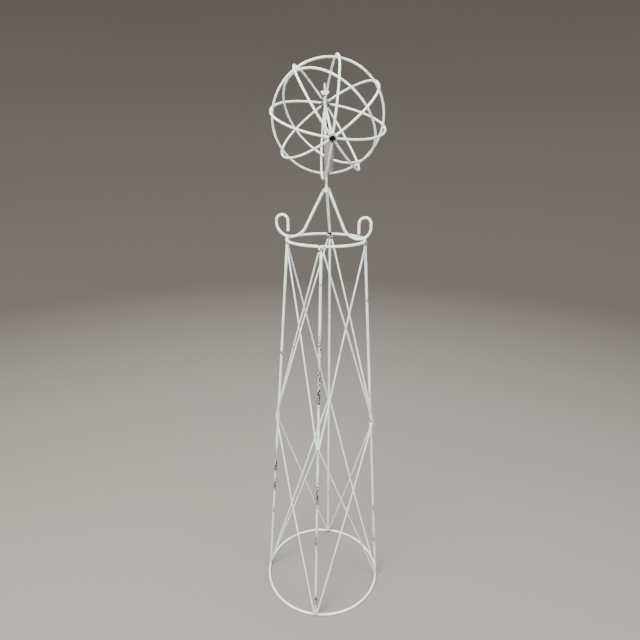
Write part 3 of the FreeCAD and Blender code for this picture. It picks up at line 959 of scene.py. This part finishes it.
class OBELISK_OT_ball_ribs(bpy.types.Operator):
    """Eight half circles from one pole pipe to the other"""
    bl_idname = "obelisk.ball_ribs"
    bl_label = "Ball ribs"

    def execute(self, context):
        sizes = context.scene.obelisk_ball
        ball = BallFrame(sizes)
        start = math.asin((sizes.hub / 2 - 0.0015) / sizes.radius)
        for index in range(RIBS):
            across = ball.across(index)
            out = math.cos(start) * ball.pole + math.sin(start) * across
            forward = math.cos(start) * across - math.sin(start) * ball.pole
            path = arc(ball.centre, out, forward, sizes.radius, math.pi - 2 * start)
            path = hand_bent(path, WANDER["rib"], 51 + index)
            total = path_length(path)[-1]
            spots = ((0.0, 0.010, 0.15), (total / 2, 0.010, 0.15), (total, 0.015, 0.4))
            made = rod(path, np.cross(ball.pole, across), sizes.rod, 51 + index, base=0.16,
                       spots=spots)
            finish_leaned(f"ball_rib_{index + 1}", made, "ball", "painted_rod")
        return {"FINISHED"}


class OBELISK_OT_ball_rings(bpy.types.Operator):
    """Equator ring inside the ribs, and the inclined ring inside the equator"""
    bl_idname = "obelisk.ball_rings"
    bl_label = "Ball rings"

    def execute(self, context):
        sizes = context.scene.obelisk_ball
        ball = BallFrame(sizes)
        touch = sizes.rod + 0.00005
        first = ball.across(0)
        level = np.cross(ball.pole, first)
        lean = math.cos(sizes.tilt) * level - math.sin(sizes.tilt) * ball.pole
        for seed, (node, radius, second) in enumerate((
                ("equator_ring", sizes.radius - touch, level),
                ("inclined_ring", sizes.radius - 2 * touch, lean)), 61):
            path = hoop(radius, first, second, ball.centre)
            path = hand_bent(path, WANDER["ball ring"], seed, closed=True)
            made = rod(path, np.cross(first, second), sizes.rod, seed, closed=True, base=0.12)
            finish_leaned(node, made, "ball", "painted_rod")
        return {"FINISHED"}


class OBELISK_OT_ball_core(bpy.types.Operator):
    """Polar rod, socket tube, and the pipes at the poles with the discs that close them"""
    bl_idname = "obelisk.ball_core"
    bl_label = "Ball core"

    def execute(self, context):
        sizes = context.scene.obelisk_ball
        ball = BallFrame(sizes)
        mast_rod = context.scene.obelisk_mast.rod
        reach = ball.pole * (sizes.hub_start - sizes.plate)
        path = straight(ball.centre - reach, ball.centre + reach)
        made = rod(path, ball.right, mast_rod, 71, base=0.0, coat=0.4,
                   spots=((0.0, 0.012, 0.3),))
        finish_leaned("polar_rod", made, "ball", "painted_rod")
        self.tube(sizes, ball)
        for seed, (name, way, bore) in enumerate((("front", 1, sizes.front_bore),
                                                  ("rear", -1, sizes.rear_bore)), 73):
            axis = ball.pole * way
            profile = wall_profile(bore / 2, sizes.hub / 2, sizes.hub_start, sizes.hub_end,
                                   0.0004, 0.002)
            pipe = lathe(profile, ball.centre, axis, ball.right, seed, base=0.12, inside=0.50,
                         coat=0.4)
            finish_leaned(name + "_hub", pipe, "ball", "weathered_tube")
            disc = straight(ball.centre + axis * (sizes.hub_start - sizes.plate),
                            ball.centre + axis * sizes.hub_start, 0.0005)
            plate = rod(disc, ball.right, sizes.hub, seed + 10, base=0.45, coat=0.0)
            finish_leaned(name + "_hub_plate", plate, "ball", "weathered_tube")
        return {"FINISHED"}

    def tube(self, sizes, ball):
        """The tube that drops over the mast.  Above the whole ring, only a strip of its rear
        wall goes on up to the polar rod."""
        whole = (sizes.tube_ring - sizes.tube_foot) / (sizes.tongue_top - sizes.tube_foot)
        soft = math.radians(2.0)

        def height_at(turn):
            off = np.abs((turn + np.pi) % (2 * np.pi) - np.pi)
            strip = np.clip((sizes.tongue_half + soft - off) / soft, 0, 1)
            return whole + (1 - whole) * strip

        foot = ball.centre * np.array([1.0, 1.0, 0.0])
        profile = wall_profile(sizes.tube_bore / 2, sizes.tube / 2, sizes.tube_foot,
                               sizes.tongue_top, 0.0005, 0.002)
        made = lathe(profile, foot, UP, -ball.pole, 72, columns=180, base=0.16, inside=0.7,
                     coat=0.6, height_at=height_at)
        finish_leaned("socket_tube", made, "ball", "weathered_tube")


# Reach of a weld bead outwards, sideways and upwards in metres, and how worn its paint is.
TOWER_BEADS = {
    "foot": ((0.0060, 0.0095, 0.0062), 0.30),
    "head": ((0.0056, 0.0088, 0.0085), 0.45),
    "knot": ((0.0055, 0.0062, 0.0085), 0.30),
    "crossing": ((0.0036, 0.0034, 0.0060), 0.35),
    "roof foot": ((0.0060, 0.0066, 0.0048), 0.30),
    "back foot": ((0.0056, 0.0060, 0.0050), 0.75),
    "apex": ((0.0064, 0.0062, 0.0100), 0.30),
}


def tower_bead(kind, centre, angle_degrees, seed):
    """One bead of the tower, shaped and worn as its kind is."""
    reach, wear = TOWER_BEADS[kind]
    return bead(centre, plan_axes(angle_degrees, *reach), seed, wear)


class OBELISK_OT_tower_welds(bpy.types.Operator):
    """Weld beads of the tower and its roof"""
    bl_idname = "obelisk.tower_welds"
    bl_label = "Tower welds"

    def execute(self, context):
        scene = context.scene
        tower, roof = scene.obelisk_tower, scene.obelisk_roof
        heights = knot_heights(tower)
        groups = {name: [] for name in ("foot", "head", "knot", "crossing", "roof_foot")}
        for index, (side, place) in enumerate(UPRIGHT_ANGLES.items()):
            foot = beside_upright(tower, place, tower.base_height + 0.0050, 0.0, 0.0)
            head = beside_upright(tower, place, tower.top_height - 0.0075, 0.0, 0.0)
            knot = beside_upright(tower, place, heights[side], 0.0035, 0.0)
            groups["foot"].append(tower_bead("foot", foot, place, 81 + index))
            groups["head"].append(tower_bead("head", head, place, 86 + index))
            groups["knot"].append(tower_bead("knot", knot, place, 91 + index))
        for index, (home, away) in enumerate(lattice_pairs()):
            corners, outward, step_out = lattice_corners(tower, home, away)
            if step_out < 0:
                continue
            place = math.degrees(math.atan2(outward[1], outward[0]))
            for half, corner in enumerate((corners[1], corners[3])):
                groups["crossing"].append(tower_bead(
                    "crossing", corner - outward * step_out, place, 101 + index * 2 + half))
        for index, (side, (trough, out, _)) in enumerate(scroll_sizes(roof).items()):
            part = tower.rod / 2 / (trough + tower.rod)
            touch = polar(SCROLL_ANGLES[side], tower.top_radius + (out - tower.top_radius) * part,
                          tower.top_height + trough_height(tower, trough, out) * part)
            groups["roof_foot"].append(
                tower_bead("roof foot", touch, SCROLL_ANGLES[side], 121 + index))
        back = polar(BACK_ANGLE, tower.top_radius - 0.004, tower.top_height + 0.004)
        groups["roof_foot"].append(tower_bead("back foot", back, BACK_ANGLE, 123))
        for name, beads in groups.items():
            finish_piece(name + "_welds", joined(beads), "tower", "weld_metal")
        apex = UP * (roof.apex_height - 0.006)
        finish_piece("apex_weld", tower_bead("apex", apex, 0, 131), "tower", "weld_metal")
        return {"FINISHED"}


class OBELISK_OT_ball_welds(bpy.types.Operator):
    """Weld beads of the ball"""
    bl_idname = "obelisk.ball_welds"
    bl_label = "Ball welds"

    def execute(self, context):
        sizes = context.scene.obelisk_ball
        ball = BallFrame(sizes)
        knots = []
        poles = {"front": [], "rear": []}
        for index in range(RIBS):
            across = ball.across(index)
            side = np.cross(ball.pole, across)
            axes = np.array([across * 0.0044, side * 0.0052, ball.pole * 0.0052])
            centre = ball.centre + across * (sizes.radius - sizes.rod / 2)
            knots.append(bead(centre, axes, 141 + index, 0.15))
            for name, way in (("front", 1), ("rear", -1)):
                centre = (ball.centre + across * (sizes.hub / 2 + 0.0024)
                          + ball.pole * way * sizes.radius)
                axes = np.array([across * 0.0030, side * 0.0042, ball.pole * 0.0046])
                poles[name].append(
                    bead(centre, axes, 151 + index, 0.12 if name == "front" else 0.55))
        finish_leaned("ball_knot_welds", joined(knots), "ball", "weld_metal")
        for name, beads in poles.items():
            finish_leaned(name + "_hub_welds", joined(beads), "ball", "weld_metal")
        crossing = ball.across(0) * (sizes.radius - sizes.rod * 1.5)
        inner = [bead(ball.centre + crossing * way, np.eye(3) * 0.0044, 161 + way, 0.15)
                 for way in (1, -1)]
        finish_leaned("inclined_ring_welds", joined(inner), "ball", "weld_metal")
        wall = (sizes.tube + sizes.tube_bore) / 4 / math.cos(sizes.dip)
        cheek = bead(ball.centre - ball.pole * wall, np.eye(3) * 0.0042, 171, 0.2)
        finish_leaned("tube_weld", cheek, "ball", "weld_metal")
        return {"FINISHED"}


# ---- stage ----------------------------------------------------------------------------

LENS = 27.57               # on a 36 mm sensor
CAMERA_AT = Vector((0.1616, -1.4588, 1.501))
CAMERA_DOWN = math.radians(18.75)
CAMERA_HEADING = math.radians(6.94)
CAMERA_ROLL = math.radians(0.41)


# Name, place, aim, size, power in watts and tint of each lamp.
LAMPS = (
    ("Key", (-1.6, -2.4, 3.4), (0, 0, 0.9), 2.6, 360, (1.0, 0.985, 0.96)),
    ("Fill", (2.6, -1.4, 2.2), (0, 0, 0.9), 2.4, 110, (0.94, 0.97, 1.0)),
    ("Top", (0.0, 0.6, 4.2), (0, 0, 0.5), 3.0, 220, (1.0, 1.0, 1.0)),
)
BOWL_FLAT = 4.5            # the stage is flat out to this radius
BOWL_TURN = 2.5            # radius of the quarter circle that turns it up into a wall
BOWL_TOP = 5.0             # height of the wall


def soft_lamp(name, at, aim, size, power, tint):
    """A square area lamp at a place, turned to aim at a point."""
    data = bpy.data.lights.new(name, "AREA")
    data.size = size
    data.energy = power
    data.color = tint
    lamp = bpy.data.objects.new(name, data)
    bpy.context.scene.collection.objects.link(lamp)
    lamp.location = at
    lamp.rotation_euler = (Vector(aim) - Vector(at)).to_track_quat("-Z", "Y").to_euler()


class OBELISK_OT_stage(bpy.types.Operator):
    """Plain floor that turns up into a wall, soft studio light and the camera"""
    bl_idname = "obelisk.stage"
    bl_label = "Stage"

    def execute(self, context):
        self.floor()
        self.air()
        for lamp in LAMPS:
            soft_lamp(*lamp)
        data = bpy.data.cameras.new("Camera")
        data.lens = LENS
        camera = bpy.data.objects.new("Camera", data)
        context.scene.collection.objects.link(camera)
        turned = (Matrix.Rotation(CAMERA_HEADING, 4, "Z")
                  @ Matrix.Rotation(math.pi / 2 - CAMERA_DOWN, 4, "X")
                  @ Matrix.Rotation(CAMERA_ROLL, 4, "Z"))
        camera.matrix_world = Matrix.Translation(CAMERA_AT) @ turned
        context.scene.camera = camera
        return {"FINISHED"}

    def floor(self):
        """A wide bowl: point (i, j) is radius i times the cosine and sine of angle j, at height
        i.  It is flat near the middle and turns up through a quarter circle into a wall."""
        look = bpy.context.scene.obelisk_stage
        turn_up = np.linspace(0, np.pi / 2, 17)
        curve_out = BOWL_FLAT + BOWL_TURN * np.sin(turn_up)
        curve_up = BOWL_TURN - BOWL_TURN * np.cos(turn_up)
        radius = np.concatenate([[0.3, 1.0, 2.5], curve_out, [BOWL_FLAT + BOWL_TURN]])[:, None]
        height = np.concatenate([[0.0, 0.0, 0.0], curve_up, [BOWL_TOP]])[:, None]
        turn = circle_angles(64)[None, :]
        rows = len(radius)
        grid = np.stack(np.broadcast_arrays(
            radius * np.cos(turn), radius * np.sin(turn), height), -1)
        middle = np.arange(64)
        mesh = bpy.data.meshes.new("floor")
        mesh.from_pydata(grid.reshape(-1, 3).tolist(), [],
                         [middle.tolist()] + grid_quads(rows, 64, False)[:, ::-1].tolist())
        mesh.polygons.foreach_set("use_smooth", np.ones(len(mesh.polygons), bool))
        material = bpy.data.materials.new("Matt floor")
        material.use_nodes = True
        shader = material.node_tree.nodes["Principled BSDF"]
        shader.inputs["Base Color"].default_value = rgba(look.floor)
        shader.inputs["Roughness"].default_value = 0.9
        mesh.materials.append(material)
        floor = bpy.data.objects.new("floor", mesh)
        bpy.context.scene.collection.objects.link(floor)

    def air(self):
        """An even soft sky."""
        look = bpy.context.scene.obelisk_stage
        world = bpy.data.worlds.new("Soft surroundings")
        world.use_nodes = True
        background = world.node_tree.nodes["Background"]
        background.inputs["Color"].default_value = rgba(look.air)
        background.inputs["Strength"].default_value = 1.0
        bpy.context.scene.world = world


# ---- registration ------------------------------------------------------------------------

GROUPS = {"obelisk_tower": TowerSizes, "obelisk_roof": RoofSizes, "obelisk_mast": MastSizes,
          "obelisk_ball": BallSizes, "obelisk_paint": PaintLook, "obelisk_stage": StageLook}
OPERATORS = (OBELISK_OT_stage, OBELISK_OT_rings, OBELISK_OT_uprights, OBELISK_OT_lattice,
             OBELISK_OT_roof, OBELISK_OT_mast, OBELISK_OT_wing_nut, OBELISK_OT_ball_ribs,
             OBELISK_OT_ball_rings, OBELISK_OT_ball_core, OBELISK_OT_tower_welds,
             OBELISK_OT_ball_welds)


class OBELISK_PT_panel(bpy.types.Panel):
    """Buttons for every group of pieces, and the sizes and colours that they use"""
    bl_idname = "OBELISK_PT_panel"
    bl_label = "Obelisk"
    bl_space_type = "VIEW_3D"
    bl_region_type = "UI"
    bl_category = "Obelisk"

    def draw(self, context):
        for operator in OPERATORS:
            self.layout.operator(operator.bl_idname)
        for group in GROUPS:
            box = self.layout.box()
            box.label(text=group.replace("_", " ").capitalize())
            for name in getattr(context.scene, group).bl_rna.properties.keys():
                if name not in ("rna_type", "name"):
                    box.prop(getattr(context.scene, group), name)


def register():
    for cls in (*GROUPS.values(), *OPERATORS, OBELISK_PT_panel):
        bpy.utils.register_class(cls)
    for name, cls in GROUPS.items():
        setattr(bpy.types.Scene, name, bpy.props.PointerProperty(type=cls))


def unregister():
    for name in GROUPS:
        delattr(bpy.types.Scene, name)
    for cls in (OBELISK_PT_panel, *reversed(OPERATORS), *reversed(list(GROUPS.values()))):
        bpy.utils.unregister_class(cls)


def main():
    register()
    for operator in OPERATORS:
        group, name = operator.bl_idname.split(".")
        getattr(getattr(bpy.ops, group), name)()


if __name__ == "__main__":
    main()
